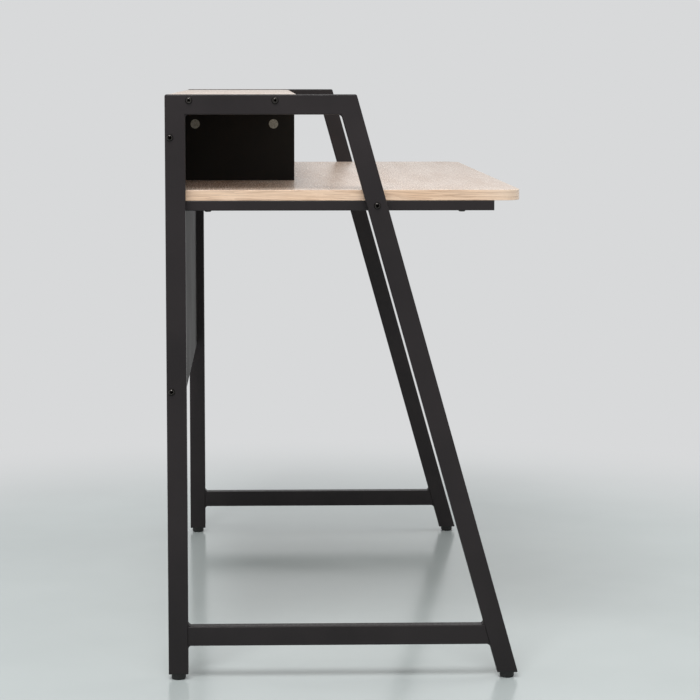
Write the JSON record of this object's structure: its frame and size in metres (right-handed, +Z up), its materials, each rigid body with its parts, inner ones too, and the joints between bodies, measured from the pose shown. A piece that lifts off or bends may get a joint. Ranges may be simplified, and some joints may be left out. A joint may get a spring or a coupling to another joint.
{
  "type": "computer desk",
  "caption": "Computer desk with black steel A-shaped side frames, an oak desktop, a raised oak shelf on black dividers, a black back panel and levelling feet.",
  "frame": {"origin": "on the floor, under the middle of the desk's bounding box", "axes": "+X along the desk's width towards its right side as its user sees it, +Y towards the back panel, away from the user, +Z up"},
  "size_m": [1.1066, 0.5346, 0.89],
  "materials": {
    "powder_coated_steel": "satin, fine-textured black powder coat",
    "black_oxide_steel": "satin black",
    "zinc_plated_steel": "satin",
    "zinc_alloy": "matt grey casting",
    "black_plastic": "matt",
    "oak_laminate": "satin light oak",
    "oak_edge_band": "satin light oak",
    "black_laminate": "matt black",
    "black_edge_band": "matt black",
    "beech": "plain"
  },
  "bodies": {
    "desk_frame": {"left_rear_leg": "powder_coated_steel", "right_rear_leg": "powder_coated_steel", "left_top_rail": "powder_coated_steel", "right_top_rail": "powder_coated_steel", "left_front_leg": "powder_coated_steel", "right_front_leg": "powder_coated_steel", "left_crossbar": "powder_coated_steel", "right_crossbar": "powder_coated_steel", "left_weld_beads": "powder_coated_steel", "right_weld_beads": "powder_coated_steel", "left_support_rail": "powder_coated_steel", "right_support_rail": "powder_coated_steel", "left_locating_pin": "powder_coated_steel", "right_locating_pin": "powder_coated_steel", "left_weld_nut": "zinc_plated_steel", "right_weld_nut": "zinc_plated_steel", "left_support_rail_back_plug": "black_plastic", "right_support_rail_back_plug": "black_plastic", "left_support_rail_front_plug": "black_plastic", "right_support_rail_front_plug": "black_plastic", "left_back_leg_plug": "black_plastic", "right_back_leg_plug": "black_plastic", "left_front_leg_plug": "black_plastic", "right_front_leg_plug": "black_plastic", "desktop": "oak_laminate", "desktop_edge_band": "oak_edge_band", "top_shelf": "oak_laminate", "top_shelf_edge_band": "oak_edge_band", "back_panel": "black_laminate", "back_panel_edge_band": "black_edge_band", "left_divider": "black_laminate", "right_divider": "black_laminate", "left_divider_edge_band": "black_edge_band", "right_divider_edge_band": "black_edge_band", "shelf_bolts": "black_oxide_steel", "back_panel_bolts": "black_oxide_steel", "support_rail_bolts": "black_oxide_steel", "shelf_barrel_nuts": "zinc_plated_steel", "back_panel_barrel_nuts": "zinc_plated_steel", "desktop_screws": "black_oxide_steel", "desktop_inserts": "zinc_alloy", "cam_locks": "zinc_alloy", "cam_pins": "zinc_plated_steel", "wood_dowels": "beech"},
    "left_back_foot": {"left_back_foot_pad": "black_plastic"},
    "left_back_foot_screw": {"left_back_foot_stud": "zinc_plated_steel"},
    "right_back_foot": {"right_back_foot_pad": "black_plastic"},
    "right_back_foot_screw": {"right_back_foot_stud": "zinc_plated_steel"},
    "left_front_foot": {"left_front_foot_pad": "black_plastic"},
    "left_front_foot_screw": {"left_front_foot_stud": "zinc_plated_steel"},
    "right_front_foot": {"right_front_foot_pad": "black_plastic"},
    "right_front_foot_screw": {"right_front_foot_stud": "zinc_plated_steel"}
  },
  "joints": [
    {"name": "left_back_foot_travel", "type": "slide", "parent": "desk_frame", "child": "left_back_foot", "axis": [0, 0, -1], "range_m": [0, 0.0125]},
    {"name": "left_back_foot_turn", "type": "hinge", "parent": "left_back_foot", "child": "left_back_foot_screw", "pos_m": [-0.54, 0.25225, 0.009], "axis": [0, 0, -1], "range_deg": [0, 3600]},
    {"name": "right_back_foot_travel", "type": "slide", "parent": "desk_frame", "child": "right_back_foot", "axis": [0, 0, -1], "range_m": [0, 0.0125]},
    {"name": "right_back_foot_turn", "type": "hinge", "parent": "right_back_foot", "child": "right_back_foot_screw", "pos_m": [0.54, 0.25225, 0.009], "axis": [0, 0, -1], "range_deg": [0, 3600]},
    {"name": "left_front_foot_travel", "type": "slide", "parent": "desk_frame", "child": "left_front_foot", "axis": [0, 0, -1], "range_m": [0, 0.0125]},
    {"name": "left_front_foot_turn", "type": "hinge", "parent": "left_front_foot", "child": "left_front_foot_screw", "pos_m": [-0.54, -0.25126, 0.009], "axis": [0, 0, -1], "range_deg": [0, 3600]},
    {"name": "right_front_foot_travel", "type": "slide", "parent": "desk_frame", "child": "right_front_foot", "axis": [0, 0, -1], "range_m": [0, 0.0125]},
    {"name": "right_front_foot_turn", "type": "hinge", "parent": "right_front_foot", "child": "right_front_foot_screw", "pos_m": [0.54, -0.25126, 0.009], "axis": [0, 0, -1], "range_deg": [0, 3600]}
  ],
  "couplings": [
    {"joint": "left_back_foot_turn", "follows": "left_back_foot_travel", "rad_per_m": 5026.5},
    {"joint": "right_back_foot_turn", "follows": "right_back_foot_travel", "rad_per_m": 5026.5},
    {"joint": "left_front_foot_turn", "follows": "left_front_foot_travel", "rad_per_m": 5026.5},
    {"joint": "right_front_foot_turn", "follows": "right_front_foot_travel", "rad_per_m": 5026.5}
  ]
}
